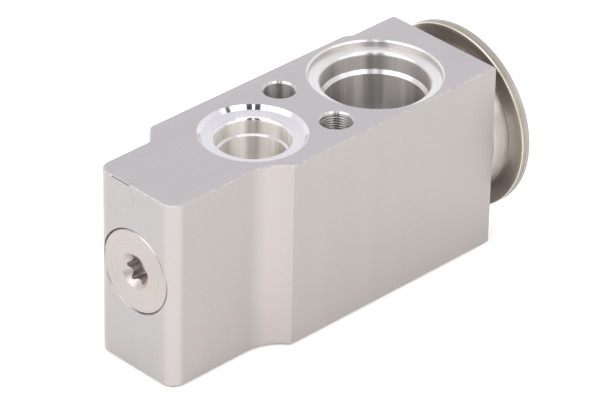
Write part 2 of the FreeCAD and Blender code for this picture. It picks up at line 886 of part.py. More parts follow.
def makeCollar():
    """Flanged collar whose neck screws into the block and whose recess stops the disc."""
    neck = size("neckRadius")
    flange = size("collarFlange")
    neckLength = size("collarNeckLength")
    neckBevel = size("collarNeckBevel")
    bevel = size("edgeBreak")
    recessDepth = (size("liftTravel") + size("slideClearance")
                   + size("stopThickness") - size("lowerSheet") - size("lowerStep"))
    return turned("threaded_collar", [
        (-neckLength, size("ventRadius")),
        (-neckLength, neck - neckBevel),
        (-neckLength + neckBevel, neck),
        (zero, neck),
        (zero, size("collarRadius") - bevel),
        (bevel, size("collarRadius")),
        (flange - bevel, size("collarRadius")),
        (flange, size("collarRadius") - bevel),
        (flange, size("stopRecessRadius")),
        (flange - recessDepth, size("stopRecessRadius")),
        (flange - recessDepth, size("ventRadius")),
    ], x=headFace)


def makeLowerCover():
    """Stainless ring sheet, seated on the collar and stepped up to the welded rim."""
    sheetThickness = size("lowerSheet")
    step = size("lowerStep")
    stepEnd = size("collarRadius") - size("lowerStepSetback")
    stepStart = stepEnd - size("lowerStepRun")
    rounding = size("rimRounding")
    return turned("lower_cover", [
        (zero, size("stopRecessRadius")),
        (zero, stepStart),
        (step, stepEnd),
        (step, rimRadius - rounding),
        (step + rounding, rimRadius),
        (step + sheetThickness, rimRadius),
        (step + sheetThickness, stepEnd),
        (sheetThickness, stepStart),
        (sheetThickness, size("stopRecessRadius")),
    ], {3: rounding}, x=collarFace)


def makeDiaphragm():
    """Thin disc with a flat middle and two shallow rings pressed into it."""
    thickness = size("diaphragmSheet")
    wave = size("diaphragmWave")
    flat = size("stopRadius")
    edge = rimRadius - size("diaphragmInset")
    pitch = wave * 2
    radii = [flat, flat + pitch, flat + pitch * 2, flat + pitch * 3, flat + pitch * 4]
    lift = [zero, wave, zero, wave, zero]
    lower = [(rise, radius) for radius, rise in zip(radii, lift)]
    upper = [(rise + thickness, radius) for radius, rise in zip(radii, lift)]
    corners = [(zero, zero)] + lower + [(zero, edge), (thickness, edge)] + upper[::-1]
    return turned("diaphragm", corners + [(thickness, zero)], x=diaphragmFace)


def makeStop():
    """Disc under the diaphragm with a blind boss that takes the end of the rod."""
    bevel = size("edgeBreak")
    thickness = size("stopThickness")
    socket = size("rodRadius") + size("seatGap")
    return turned("diaphragm_stop", [
        (zero, zero),
        (zero, size("stopRadius") - bevel),
        (-bevel, size("stopRadius")),
        (-thickness, size("stopRadius")),
        (-thickness, size("stopBossRadius")),
        (-thickness - size("stopBossLength"), size("stopBossRadius") - bevel),
        (-thickness - size("stopBossLength"), socket),
        (-thickness / 2, socket),
        (-thickness / 2, zero),
    ], x=diaphragmFace)


def makeUpperCover():
    """Pressed cap: flat welded rim, domed middle and a small flat round the filling hole."""
    thickness = size("upperSheet")
    rounding = size("rimRounding")
    top = size("domeTopRadius")
    rise = size("domeRise")
    hole = size("fillHoleRadius")
    curve = domeRadius * 2
    return turned("upper_cover", [
        (zero, rimRadius),
        (thickness - rounding, rimRadius),
        (thickness, rimRadius - rounding),
        (thickness, domeRadius),
        (thickness + rise, top),
        (thickness + rise, hole),
        (rise, hole),
        (rise, top),
        (thickness / 2, domeRadius),
        (zero, domeRadius + thickness / 2),
    ], {1: rounding, 3: curve, 7: -curve}, x=diaphragmFace + size("diaphragmSheet"))


def makePlug():
    """Filling plug: a low round head over the hole and a short stem in it."""
    head = size("plugHeadRadius")
    rise = size("plugHeadRise")
    stem = size("fillHoleRadius") - size("seatGap")
    crown = Size((head.number ** 2 + rise.number ** 2) / (2 * rise.number),
                 f"(({head.text}^2 + {rise.text}^2) / (2 * {rise.text}))")
    seat = diaphragmFace + size("diaphragmSheet") + size("upperSheet") + size("domeRise")
    return turned("charge_plug", [
        (-size("upperSheet"), zero),
        (-size("upperSheet"), stem),
        (zero, stem),
        (zero, head),
        (rise, zero),
    ], {3: crown}, x=seat)


def makeHeadSeal():
    return ring("head_seal", size("headSealSection"), headSealMiddle,
                headFace - headSealRecess / 2)


# Build, check and write every sub-part

block = makeBlock()
subParts = [block] + makeScrew()
subParts += [makeSpring(), makeCarrier(), makeClip(), makeBall(), makeSeat()]
subParts += [makePin(), makeRod(), makeSleeve(), makeRodSeal(), makeRetainer()]
subParts += [makeCollar(), makeLowerCover(), makeDiaphragm(), makeStop(), makeUpperCover()]
subParts += [makePlug(), makeHeadSeal()]
doc.recompute()

for item in doc.Objects:
    if "Invalid" in item.State or "Error" in item.State:
        raise RuntimeError(f"{item.Label} failed: {item.State}")
for part in subParts:
    if part.Shape.isNull() or not part.Shape.isValid():
        raise RuntimeError(f"{part.Label} has no valid shape")
for part in subParts:
    part.Shape.exportStep(f"parts/{part.Label}.step")
    print(f"{part.Label}: {part.Shape.Volume:.1f} mm3")
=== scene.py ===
import math

import bmesh
import bpy
import numpy as np
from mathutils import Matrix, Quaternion, Vector


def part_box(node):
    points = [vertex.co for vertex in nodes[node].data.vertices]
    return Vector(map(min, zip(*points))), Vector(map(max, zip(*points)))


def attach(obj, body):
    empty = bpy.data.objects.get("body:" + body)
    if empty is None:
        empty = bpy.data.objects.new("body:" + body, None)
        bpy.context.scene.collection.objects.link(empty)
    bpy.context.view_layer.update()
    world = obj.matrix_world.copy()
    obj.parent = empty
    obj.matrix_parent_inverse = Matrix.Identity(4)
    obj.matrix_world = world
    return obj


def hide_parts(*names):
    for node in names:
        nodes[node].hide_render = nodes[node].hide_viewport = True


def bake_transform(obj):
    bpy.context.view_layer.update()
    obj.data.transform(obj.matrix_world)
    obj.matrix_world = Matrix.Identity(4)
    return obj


# Block-type expansion valve: light, satin aluminium block, turned ports and a steel head.
# Everything is in metres: +Z out of the port face, +X from the adjusting screw to the head.

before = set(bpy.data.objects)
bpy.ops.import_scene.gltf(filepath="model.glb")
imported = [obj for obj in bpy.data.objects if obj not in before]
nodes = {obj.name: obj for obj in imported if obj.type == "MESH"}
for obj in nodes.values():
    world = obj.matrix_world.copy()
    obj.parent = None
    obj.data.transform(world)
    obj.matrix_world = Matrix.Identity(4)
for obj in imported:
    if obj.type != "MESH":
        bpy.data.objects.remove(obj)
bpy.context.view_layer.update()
print("frame loaded:", len(nodes), "nodes")


camera = {
    "place": (-0.47073, -0.47303, 0.43099),
    "aim": (-0.00142, 0.00003, 0.01832),
    "roll": -1.13,          # degrees about the line of sight
    "lens": 256.6,          # with a sensor 36 mm wide
}


def placeCamera(values):
    lens = bpy.data.cameras.new("studioCamera")
    lens.lens = values["lens"]
    lens.sensor_width = 36
    lens.clip_end = 20
    eye = Vector(values["place"])
    ahead = (Vector(values["aim"]) - eye).normalized()
    turn = Quaternion(ahead, math.radians(values["roll"])) @ ahead.to_track_quat("-Z", "Y")
    holder = bpy.data.objects.new("studioCamera", lens)
    holder.rotation_mode = "QUATERNION"
    holder.rotation_quaternion = turn
    holder.location = eye
    bpy.context.scene.collection.objects.link(holder)
    bpy.context.scene.camera = holder


placeCamera(camera)
bpy.context.scene.view_settings.view_transform = "Standard"
print("camera placed")


# colour of a swatch read as 0 to 255, turned linear: ((c + 0.055) / 1.055) to the 2.4
def paint(red, green, blue):
    swatch = np.array([red, green, blue]) / 255
    linear = np.where(swatch > 0.04045, ((swatch + 0.055) / 1.055) ** 2.4, swatch / 12.92)
    return (*[float(part) for part in linear], 1.0)


def feed(tree, socket, value):
    if isinstance(value, bpy.types.NodeSocket):
        tree.links.new(value, socket)
    else:
        socket.default_value = value


# one node; inputs maps a socket's name or number to a value or to another node's output
def addNode(tree, kind, inputs=None, **settings):
    node = tree.nodes.new(kind)
    for name, value in settings.items():
        setattr(node, name, value)
    for key, value in (inputs or {}).items():
        feed(tree, node.inputs[key], value)
    return node


def calc(tree, operation, first, second=0.0, third=0.0):
    return addNode(tree, "ShaderNodeMath", {0: first, 1: second, 2: third}, operation=operation).outputs[0]


def vectorCalc(tree, operation, first, second=None):
    inputs = {0: first} if second is None else {0: first, 1: second}
    return addNode(tree, "ShaderNodeVectorMath", inputs, operation=operation).outputs[0]


def scaled(tree, vector, share):
    node = addNode(tree, "ShaderNodeVectorMath", {0: vector, "Scale": share}, operation="SCALE")
    return node.outputs[0]


def blendColour(tree, share, first, second):
    node = addNode(tree, "ShaderNodeMix", {"Factor": share, 6: first, 7: second}, data_type="RGBA")
    return node.outputs[2]


def blendValue(tree, share, first, second):
    node = addNode(tree, "ShaderNodeMix", {"Factor": share, 2: first, 3: second}, data_type="FLOAT")
    return node.outputs[0]


def blendVector(tree, share, first, second):
    node = addNode(tree, "ShaderNodeMix", {"Factor": share, 4: first, 5: second}, data_type="VECTOR")
    return node.outputs[1]


def remap(tree, value, low, high, toLow=0.0, toHigh=1.0):
    node = addNode(tree, "ShaderNodeMapRange", {
        "Value": value, "From Min": low, "From Max": high, "To Min": toLow, "To Max": toHigh})
    return node.outputs[0]


# noise mostly stays between 0.3 and 0.7, so that range is stretched from low to high
def spread(tree, noise, low=0.0, high=1.0):
    return remap(tree, noise, 0.3, 0.7, low, high)


def product(tree, first, *others):
    for other in others:
        first = calc(tree, "MULTIPLY", first, other)
    return first


def above(tree, value, limit):
    return calc(tree, "GREATER_THAN", value, limit)


def below(tree, value, limit):
    return calc(tree, "LESS_THAN", value, limit)


def between(tree, value, low, high):
    return product(tree, above(tree, value, low), below(tree, value, high))


# distance of (first, second) from a centre
def reachFrom(tree, first, second, centre=(0.0, 0.0)):
    squares = [calc(tree, "POWER", calc(tree, "SUBTRACT", part, middle), 2)
               for part, middle in ((first, centre[0]), (second, centre[1]))]
    return calc(tree, "SQRT", calc(tree, "ADD", *squares))


def noise(tree, place, scale, detail):
    inputs = {"Vector": place, "Scale": scale, "Detail": detail}
    return addNode(tree, "ShaderNodeTexNoise", inputs).outputs[0]


def surfaceNormal(tree):
    return addNode(tree, "ShaderNodeNewGeometry").outputs["Normal"]


def separate(tree, vector):
    return addNode(tree, "ShaderNodeSeparateXYZ", {0: vector}).outputs


# shader node group; inputs maps a name to its default, and a None default is a vector
def newGroup(name, inputs, outputs):
    tree = bpy.data.node_groups.new(name, "ShaderNodeTree")
    for key, value in inputs.items():
        kind = "NodeSocketVector" if value is None else "NodeSocketFloat"
        socket = tree.interface.new_socket(name=key, in_out="INPUT", socket_type=kind)
        if value is not None:
            socket.default_value = value
    for key in outputs:
        tree.interface.new_socket(name=key, in_out="OUTPUT", socket_type="NodeSocketFloat")
    return tree, tree.nodes.new("NodeGroupInput").outputs, tree.nodes.new("NodeGroupOutput").inputs


def useGroup(tree, group, **inputs):
    node = addNode(tree, "ShaderNodeGroup", node_tree=group)
    for key, value in inputs.items():
        feed(tree, node.inputs[key], value)
    return node.outputs


# feed marks about the local Z axis: sine of (radius + height) / pitch, with a little waver
def makeTurningMarks():
    tree, given, result = newGroup("turningMarks", {"Place": None, "Pitch": 0.0004, "Waver": 0.3},
                                   ["Height", "Tone"])
    parts = separate(tree, given["Place"])
    along = calc(tree, "ADD", reachFrom(tree, parts[0], parts[1]), parts[2])
    waver = noise(tree, given["Place"], 260, 2)
    turns = calc(tree, "DIVIDE", along, given["Pitch"])
    step = calc(tree, "MULTIPLY_ADD", waver, given["Waver"], turns)
    wave = calc(tree, "SINE", calc(tree, "MULTIPLY", step, 2 * math.pi))
    tree.links.new(calc(tree, "MULTIPLY_ADD", wave, 0.5, 0.5), result["Height"])
    bands = addNode(tree, "ShaderNodeTexNoise", {"W": step, "Scale": 0.45, "Detail": 3},
                    noise_dimensions="1D")
    tree.links.new(bands.outputs[0], result["Tone"])
    return tree


# lines along the local Z axis: noise on a place squeezed along Z by the stretch
def makeDrawnLines():
    tree, given, result = newGroup("drawnLines", {"Place": None, "Density": 900.0, "Stretch": 60.0},
                                   ["Height", "Tone"])
    squeeze = addNode(tree, "ShaderNodeCombineXYZ", {
        0: 1.0, 1: 1.0, 2: calc(tree, "DIVIDE", 1.0, given["Stretch"])})
    place = vectorCalc(tree, "MULTIPLY", given["Place"], squeeze.outputs[0])
    fine = addNode(tree, "ShaderNodeTexNoise", {
        "Vector": place, "Scale": given["Density"], "Detail": 4, "Roughness": 0.65})
    broad = addNode(tree, "ShaderNodeTexNoise", {
        "Vector": place, "Scale": calc(tree, "MULTIPLY", given["Density"], 0.12), "Detail": 2})
    tree.links.new(fine.outputs[0], result["Height"])
    tree.links.new(broad.outputs[0], result["Tone"])
    return tree


# small nicks: cells nearer to their seed than the share, thinned by a slower noise
def makeHandlingMarks():
    tree, given, result = newGroup("handlingMarks", {"Place": None, "Scale": 400.0, "Share": 0.08},
                                   ["Mask"])
    cells = addNode(tree, "ShaderNodeTexVoronoi", {"Vector": given["Place"], "Scale": given["Scale"]})
    near = below(tree, cells.outputs["Distance"], given["Share"])
    thin = addNode(tree, "ShaderNodeTexNoise", {
        "Vector": given["Place"], "Scale": calc(tree, "MULTIPLY", given["Scale"], 0.3)})
    tree.links.new(product(tree, near, remap(tree, thin.outputs[0], 0.55, 0.62)), result["Mask"])
    return tree


# rubbed edges, lighter partly from wear and partly as a painted highlight: 1 - cosine between the surface's
# normal and the same normal rounded over a radius
def makeEdgeWearAndHighlight():
    tree, given, result = newGroup("edgeWearAndHighlight", {"Place": None, "Radius": 0.0001}, ["Mask"])
    rounded = addNode(tree, "ShaderNodeBevel", {"Radius": given["Radius"]}, samples=6).outputs[0]
    match = addNode(tree, "ShaderNodeVectorMath", {0: rounded, 1: surfaceNormal(tree)},
                    operation="DOT_PRODUCT").outputs["Value"]
    patchy = remap(tree, noise(tree, given["Place"], 700, 3), 0.3, 0.6, 0.55, 1.0)
    tree.links.new(product(tree, remap(tree, match, 0.99, 0.9), patchy), result["Mask"])
    return tree


turningMarks = makeTurningMarks()
drawnLines = makeDrawnLines()
handlingMarks = makeHandlingMarks()
edgeWearAndHighlight = makeEdgeWearAndHighlight()


def newMaterial(name):
    material = bpy.data.materials.new(name)
    material.use_nodes = True
    tree = material.node_tree
    tree.nodes.clear()
    shader = tree.nodes.new("ShaderNodeBsdfPrincipled")
    output = tree.nodes.new("ShaderNodeOutputMaterial")
    tree.links.new(shader.outputs[0], output.inputs["Surface"])
    return material, tree, shader


# Object coordinates measured from a centre in metres, then turned
def objectPlace(tree, centre=(0, 0, 0), turn=(0, 0, 0)):
    place = addNode(tree, "ShaderNodeTexCoord").outputs["Object"]
    moved = vectorCalc(tree, "SUBTRACT", place, centre)
    return addNode(tree, "ShaderNodeMapping", {"Vector": moved, "Rotation": turn}).outputs[0]


# along the surface and across circular tool marks: normal x (axis x offset)
def acrossTurning(tree, offset, axis):
    around = vectorCalc(tree, "NORMALIZE", vectorCalc(tree, "CROSS_PRODUCT", axis, offset))
    return vectorCalc(tree, "CROSS_PRODUCT", surfaceNormal(tree), around)


# bump on the shader's normal, over an earlier bump where there is one
def addBump(tree, shader, height, strength, distance, under=None):
    bump = addNode(tree, "ShaderNodeBump", {"Height": height, "Strength": strength, "Distance": distance})
    if under is not None:
        tree.links.new(under, bump.inputs["Normal"])
    tree.links.new(bump.outputs[0], shader.inputs["Normal"])


# rubbed edges take their own colour, partly wear and partly a painted highlight, and small nicks another
def addWearAndHighlight(tree, place, colour, values):
    wornAndLit = useGroup(tree, edgeWearAndHighlight, Place=place, Radius=values["edgeReach"])["Mask"]
    edged = blendColour(tree, product(tree, wornAndLit, 0.8), colour, values["edge"])
    nicks = useGroup(tree, handlingMarks, Place=place, **values["nicks"])["Mask"]
    return blendColour(tree, product(tree, nicks, values["nickShare"]), edged, values["nickColour"])


def dress(name, material):
    slots = nodes[name].data.materials
    slots.clear()
    slots.append(material)


axisHeight = 0.0206
alongX = (0, -math.pi / 2, 0)      # brings the valve axis onto the local Z axis

block = {
    "side": paint(198, 193, 191),
    "end": paint(202, 198, 199),
    "curve": paint(215, 208, 206),      # rounded upright parts, a painted highlight where they face between X and Y
    "face": paint(204, 199, 203),
    "edge": paint(213, 208, 206),
    "edgeBreak": paint(188, 183, 182),
    "baseBreakShade": paint(150, 146, 144),
    "baseHeight": 0.001,
    "sideRoughness": 0.42,
    "faceRoughness": 0.40,
    "wallRoughness": 0.46,
    "ledgeRoughness": 0.24,
    "grain": 0.95,
    # slant is 0 on a wall and 1 on a level face
    "levelFrom": 0.95,
    "breakSlants": (0.3, 0.9),
    "slopeFrom": 0.2,
    # marks: lines up the sides, along the level faces and up the bores, and rings on the slopes
    "sideLines": {"Density": 1100.0, "Stretch": 90.0},
    "faceLines": {"Density": 1600.0, "Stretch": 25.0},
    "wallLines": {"Density": 6500.0, "Stretch": 200.0},
    "ringPitch": 0.00024,
    "bump": 0.30,
    "turnedBump": 0.08,
    "bumpDepth": 0.00001,
    "edgeReach": 0.00009,
    "nicks": {"Scale": 420.0, "Share": 0.08},
    "nickShare": 0.3,
    "nickColour": paint(150, 146, 146),
    "endFace": -0.0415,     # marks of the end face lie below this x
    # painted shade in the gap round the screw
    "screwGapShade": {"from": 0.0080, "to": 0.00836, "colour": paint(96, 92, 90)},
    "toolTrace": {"centre": (0.0042, 0.0351), "radius": 0.0040, "half": 0.00008,
                  "colour": paint(172, 167, 166)},
    "scratch": {"from": 0.0014, "to": 0.0059, "low": 0.0377, "high": 0.0379,
                "colour": paint(140, 135, 133)},
    # turned places: their upright line, radius, lowest and highest point, colours, bevels' roughness; the
    # slope and wall colours, set apart by slant and from bore to bore, are painted light and shade standing
    # in for the light each surface catches
    "turned": (
        {"line": (-0.01405, -0.0004), "radius": 0.01012, "from": 0.019, "to": 0.039,
         "slope": paint(226, 223, 230), "wall": paint(252, 248, 241), "bevel": 0.08},
        {"line": (0.0170, -0.0004), "radius": 0.01277, "from": 0.019, "to": 0.039,
         "slope": paint(234, 231, 232), "wall": paint(210, 205, 202), "bevel": 0.30},
        {"line": (-0.0094, -0.0004), "radius": 0.0080, "from": -0.001, "to": 0.019,
         "slope": paint(228, 225, 226), "wall": paint(232, 228, 222), "bevel": 0.20},
        {"line": (0.0170, -0.0004), "radius": 0.0113, "from": -0.001, "to": 0.019,
         "slope": paint(228, 225, 226), "wall": paint(222, 218, 215), "bevel": 0.30},
        {"line": (0.0, -0.0074), "radius": 0.0033, "from": 0.019, "to": 0.039,
         "slope": paint(206, 203, 203), "wall": paint(197, 192, 191), "bevel": 0.26},
        {"line": (0.0, 0.0074), "radius": 0.0033, "from": -0.001, "to": 0.039,
         "slope": paint(206, 203, 203), "wall": paint(197, 192, 191), "bevel": 0.26},
    ),
}


# drawn sides, sawn ends, milled level faces and the broken edges between them; uprights facing between X
# and Y take a painted highlight, the broken edges patchy tones that are partly a painted highlight, and
# those near the floor a painted shade
def plainBlockColour(tree, place, parts, facing, slant, level, values):
    onEnd = above(tree, calc(tree, "ABSOLUTE", facing[0]), values["levelFrom"])
    # painted highlight: upright surfaces facing between X and Y take the lighter curve colour
    paintedHighlight = remap(tree, calc(tree, "ABSOLUTE", product(tree, facing[0], facing[1])), 0.06, 0.36)
    drawn = blendColour(tree, onEnd, values["side"], values["end"])
    drawn = blendColour(tree, paintedHighlight, drawn, values["curve"])
    patches = spread(tree, noise(tree, place, 900, 3))
    broken = blendColour(tree, patches, values["edgeBreak"], values["edge"])
    # painted shade: broken edges within the base height take a darker colour
    nearBase = below(tree, parts[2], values["baseHeight"])
    broken = blendColour(tree, nearBase, broken, values["baseBreakShade"])
    colour = blendColour(tree, level, drawn, values["face"])
    return blendColour(tree, between(tree, slant, *values["breakSlants"]), colour, broken)


# colour, mask, centre line and bevels' roughness of the turned places, whose colours carry painted light
# and shade
def turnedPlaces(tree, parts, slant, colour, values):
    machined, centre, bevelRoughness = 0.0, (0.0, 0.0, 0.0), values["wallRoughness"]
    sloped = remap(tree, slant, 0.2, 0.5)
    for zone in values["turned"]:
        inside = below(tree, reachFrom(tree, parts[0], parts[1], zone["line"]), zone["radius"])
        mask = product(tree, inside, between(tree, parts[2], zone["from"], zone["to"]))
        machined = calc(tree, "MAXIMUM", machined, mask)
        centre = blendVector(tree, mask, centre, (*zone["line"], 0.0))
        turnedColour = blendColour(tree, sloped, zone["wall"], zone["slope"])
        colour = blendColour(tree, mask, colour, turnedColour)
        bevelRoughness = blendValue(tree, mask, bevelRoughness, zone["bevel"])
    return colour, machined, centre, bevelRoughness


# end face: painted shade in the gap round the screw, the faint trace of a round tool and a scratch above it
def addEndMarks(tree, place, parts, colour, values):
    onEnd = below(tree, parts[0], values["endFace"])
    line, trace, scratch = values["screwGapShade"], values["toolTrace"], values["scratch"]
    cloud = noise(tree, place, 260, 2)
    reach = reachFrom(tree, parts[1], parts[2], (0.0, axisHeight))
    # the painted shade shows in two of the four quarters, where across times up is positive
    lifted = calc(tree, "SUBTRACT", parts[2], axisHeight)
    quarter = calc(tree, "DIVIDE", product(tree, parts[1], lifted), calc(tree, "POWER", reach, 2))
    gap = product(tree, between(tree, reach, line["from"], line["to"]),
                  remap(tree, quarter, -0.25, 0.2), remap(tree, cloud, 0.3, 0.55, 0.3, 1.0))
    traceReach = reachFrom(tree, parts[1], parts[2], trace["centre"])
    ring = between(tree, traceReach, trace["radius"] - trace["half"], trace["radius"] + trace["half"])
    ring = product(tree, ring, remap(tree, cloud, 0.35, 0.6, 0.1, 0.6))
    cut = product(tree, between(tree, parts[1], scratch["from"], scratch["to"]),
                  between(tree, parts[2], scratch["low"], scratch["high"]))
    for mask, mark in ((gap, line), (ring, trace), (cut, scratch)):
        colour = blendColour(tree, product(tree, onEnd, mask), colour, mark["colour"])
    return colour


def makeBlockMaterial(values):
    material, tree, shader = newMaterial("drawnAluminium")
    place, normal = objectPlace(tree), surfaceNormal(tree)
    parts, facing = separate(tree, place), separate(tree, normal)
    slant = calc(tree, "ABSOLUTE", facing[2])
    level = above(tree, slant, values["levelFrom"])
    colour = plainBlockColour(tree, place, parts, facing, slant, level, values)
    colour, machined, centre, bevelRoughness = turnedPlaces(tree, parts, slant, colour, values)
    offset = vectorCalc(tree, "SUBTRACT", place, centre)

    lines = useGroup(tree, drawnLines, Place=place, **values["sideLines"])
    crossPlace = objectPlace(tree, turn=(0, math.pi / 2, 0))
    cuts = useGroup(tree, drawnLines, Place=crossPlace, **values["faceLines"])
    streaks = useGroup(tree, drawnLines, Place=place, **values["wallLines"])
    rings = useGroup(tree, turningMarks, Place=offset, Pitch=values["ringPitch"])
    plainTone = blendValue(tree, level, lines["Tone"], cuts["Tone"])
    sloping = above(tree, slant, values["slopeFrom"])
    turnedTone = blendValue(tree, sloping, spread(tree, streaks["Tone"], -0.4, 1.1), rings["Tone"])
    tone = blendValue(tree, machined, plainTone, turnedTone)
    toned = scaled(tree, colour, spread(tree, tone, 0.965, 1.025))
    final = addEndMarks(tree, place, parts, addWearAndHighlight(tree, place, toned, values), values)
    tree.links.new(final, shader.inputs["Base Color"])

    plainRough = blendValue(tree, level, values["sideRoughness"], values["faceRoughness"])
    bevelled = remap(tree, slant, 0.25, 0.6, values["wallRoughness"], bevelRoughness)
    turnedRough = blendValue(tree, level, bevelled, values["ledgeRoughness"])
    rough = blendValue(tree, machined, plainRough, turnedRough)
    rough = calc(tree, "ADD", rough, spread(tree, tone, -0.03, 0.03))
    tree.links.new(rough, shader.inputs["Roughness"])
    shader.inputs["Metallic"].default_value = 1.0
    flatHeight = blendValue(tree, level, lines["Height"], cuts["Height"])
    height = blendValue(tree, machined, flatHeight, rings["Height"])
    strength = blendValue(tree, machined, values["bump"], values["turnedBump"])
    addBump(tree, shader, height, strength, values["bumpDepth"])

    # grain: round the ports and holes, up the drawn sides, along the level faces
    turned = acrossTurning(tree, offset, (0, 0, 1))
    drawn = vectorCalc(tree, "CROSS_PRODUCT", normal, (0, 0, 1))
    straight = blendVector(tree, level, drawn, (1.0, 0.0, 0.0))
    shader.inputs["Anisotropic"].default_value = values["grain"]
    tree.links.new(blendVector(tree, machined, straight, turned), shader.inputs["Tangent"])
    return material


dress("valve_block", makeBlockMaterial(block))
print("block finished")


# each piece's edge colour is partly wear and partly a painted highlight on its rounded edges
turnedPieces = {
    "adjusting_screw": {"colour": paint(199, 192, 189), "edge": paint(240, 236, 232),
                        "roughness": 0.36, "pitch": 0.00018, "bump": 0.05},
    "threaded_collar": {"colour": paint(197, 189, 186), "edge": paint(214, 206, 204),
                        "roughness": 0.36, "pitch": 0.00022, "bump": 0.15},
    "lower_cover": {"colour": paint(181, 174, 166), "edge": paint(216, 204, 186),
                    "roughness": 0.32, "pitch": 0.00060, "bump": 0.20, "ripple": 0.6,
                    # the corner colour is a painted highlight, and the inner colour painted light on the
                    # underside near the collar
                    "wall": paint(166, 160, 153), "corner": paint(232, 220, 200),
                    "inner": paint(198, 190, 180)},
    "upper_cover": {"colour": paint(180, 173, 166), "edge": paint(206, 200, 194),
                    "roughness": 0.32, "pitch": 0.00060, "bump": 0.20, "ripple": 0.6},
    "diaphragm": {"colour": paint(186, 184, 180), "edge": paint(210, 208, 204),
                  "roughness": 0.22, "pitch": 0.00050, "bump": 0.15},
    "charge_plug": {"colour": paint(186, 181, 176), "edge": paint(208, 203, 198),
                    "roughness": 0.26, "pitch": 0.00030, "bump": 0.20},
    "diaphragm_stop": {"colour": paint(206, 176, 112), "edge": paint(226, 200, 140),
                       "roughness": 0.26, "pitch": 0.00020, "bump": 0.30},
    "sensing_rod": {"colour": paint(206, 205, 204), "edge": paint(222, 221, 220),
                    "roughness": 0.24, "pitch": 0.00018, "bump": 0.30},
    "push_pin": {"colour": paint(190, 189, 187), "edge": paint(212, 211, 209),
                 "roughness": 0.18, "pitch": 0.00015, "bump": 0.20},
    "valve_ball": {"colour": paint(214, 214, 215), "edge": paint(226, 226, 227),
                   "roughness": 0.08, "pitch": 0.00090, "bump": 0.05},
    "seat_insert": {"colour": paint(192, 190, 188), "edge": paint(214, 212, 210),
                    "roughness": 0.22, "pitch": 0.00016, "bump": 0.30},
    "ball_carrier": {"colour": paint(208, 177, 110), "edge": paint(228, 202, 138),
                     "roughness": 0.24, "pitch": 0.00018, "bump": 0.30},
    "damper_clip": {"colour": paint(184, 182, 178), "edge": paint(206, 204, 200),
                    "roughness": 0.24, "pitch": 0.00030, "bump": 0.20},
    "rod_seal_retainer": {"colour": paint(180, 178, 174), "edge": paint(204, 202, 198),
                          "roughness": 0.26, "pitch": 0.00030, "bump": 0.20},
    "superheat_spring": {"colour": paint(182, 181, 180), "edge": paint(204, 203, 202),
                         "roughness": 0.25, "pitch": 0.00040, "bump": 0.20},
}


# what all the turned pieces share
turnedFinish = {
    "edgeReach": 0.00008,
    "nicks": {"Scale": 500.0, "Share": 0.12},
    "nickShare": 0.3,
    "nickDarkness": 0.55,
    "waver": 0.4,
    "grain": 0.7,
    "bumpDepth": 0.00001,
    "rippleScale": 190,
    "rippleDepth": 0.0003,
    "innerLightRadii": (0.0176, 0.0152),      # radii between which the underside lightens, a painted light
}


# outer wall, a painted highlight on its rounded corner, and the level underside with painted light
# lightening it towards the collar
def coverColour(tree, place, values):
    upright = calc(tree, "ABSOLUTE", separate(tree, surfaceNormal(tree))[0])
    parts = separate(tree, place)
    inward = remap(tree, reachFrom(tree, parts[0], parts[1]), *turnedFinish["innerLightRadii"])
    under = blendColour(tree, inward, values["colour"], values["inner"])
    colour = blendColour(tree, remap(tree, upright, 0.15, 0.35), values["wall"], values["corner"])
    return blendColour(tree, remap(tree, upright, 0.8, 0.95), colour, under)


def makeTurnedMaterial(name, values):
    material, tree, shader = newMaterial(f"{name}_finish")
    place = objectPlace(tree, (0, 0, axisHeight), alongX)
    marks = useGroup(tree, turningMarks, Place=place, Pitch=values["pitch"], Waver=turnedFinish["waver"])
    colour = coverColour(tree, place, values) if "wall" in values else values["colour"][:3]
    toned = scaled(tree, colour, spread(tree, marks["Tone"], 0.95, 1.04))
    dark = tuple(part * turnedFinish["nickDarkness"] for part in values["colour"][:3]) + (1.0,)
    final = addWearAndHighlight(tree, place, toned, {**turnedFinish, "edge": values["edge"], "nickColour": dark})
    tree.links.new(final, shader.inputs["Base Color"])
    rough = spread(tree, marks["Tone"], values["roughness"] - 0.03, values["roughness"] + 0.04)
    tree.links.new(rough, shader.inputs["Roughness"])
    shader.inputs["Metallic"].default_value = 1.0
    ripple = None
    if "ripple" in values:      # the pressed rim is not quite even
        swell = noise(tree, place, turnedFinish["rippleScale"], 1)
        ripple = addNode(tree, "ShaderNodeBump", {
            "Height": swell, "Strength": values["ripple"],
            "Distance": turnedFinish["rippleDepth"]}).outputs[0]
    addBump(tree, shader, marks["Height"], values["bump"], turnedFinish["bumpDepth"], ripple)
    shader.inputs["Anisotropic"].default_value = turnedFinish["grain"]
    across = acrossTurning(tree, objectPlace(tree, (0, 0, axisHeight)), (1, 0, 0))
    tree.links.new(across, shader.inputs["Tangent"])
    return material


finishes = {name: makeTurnedMaterial(name, values) for name, values in turnedPieces.items()}
for name, material in finishes.items():
    dress(name, material)
print("turned pieces finished")


mouldedPieces = {
    "sealRubber": {"nodes": ("screw_seal", "rod_seal", "head_seal"), "colour": paint(52, 116, 74),
                   "roughness": 0.5, "grain": 2600.0, "bump": 0.3},
    "sleevePlastic": {"nodes": ("rod_sleeve",), "colour": paint(62, 62, 64),
                      "roughness": 0.42, "grain": 1800.0, "bump": 0.25},
}


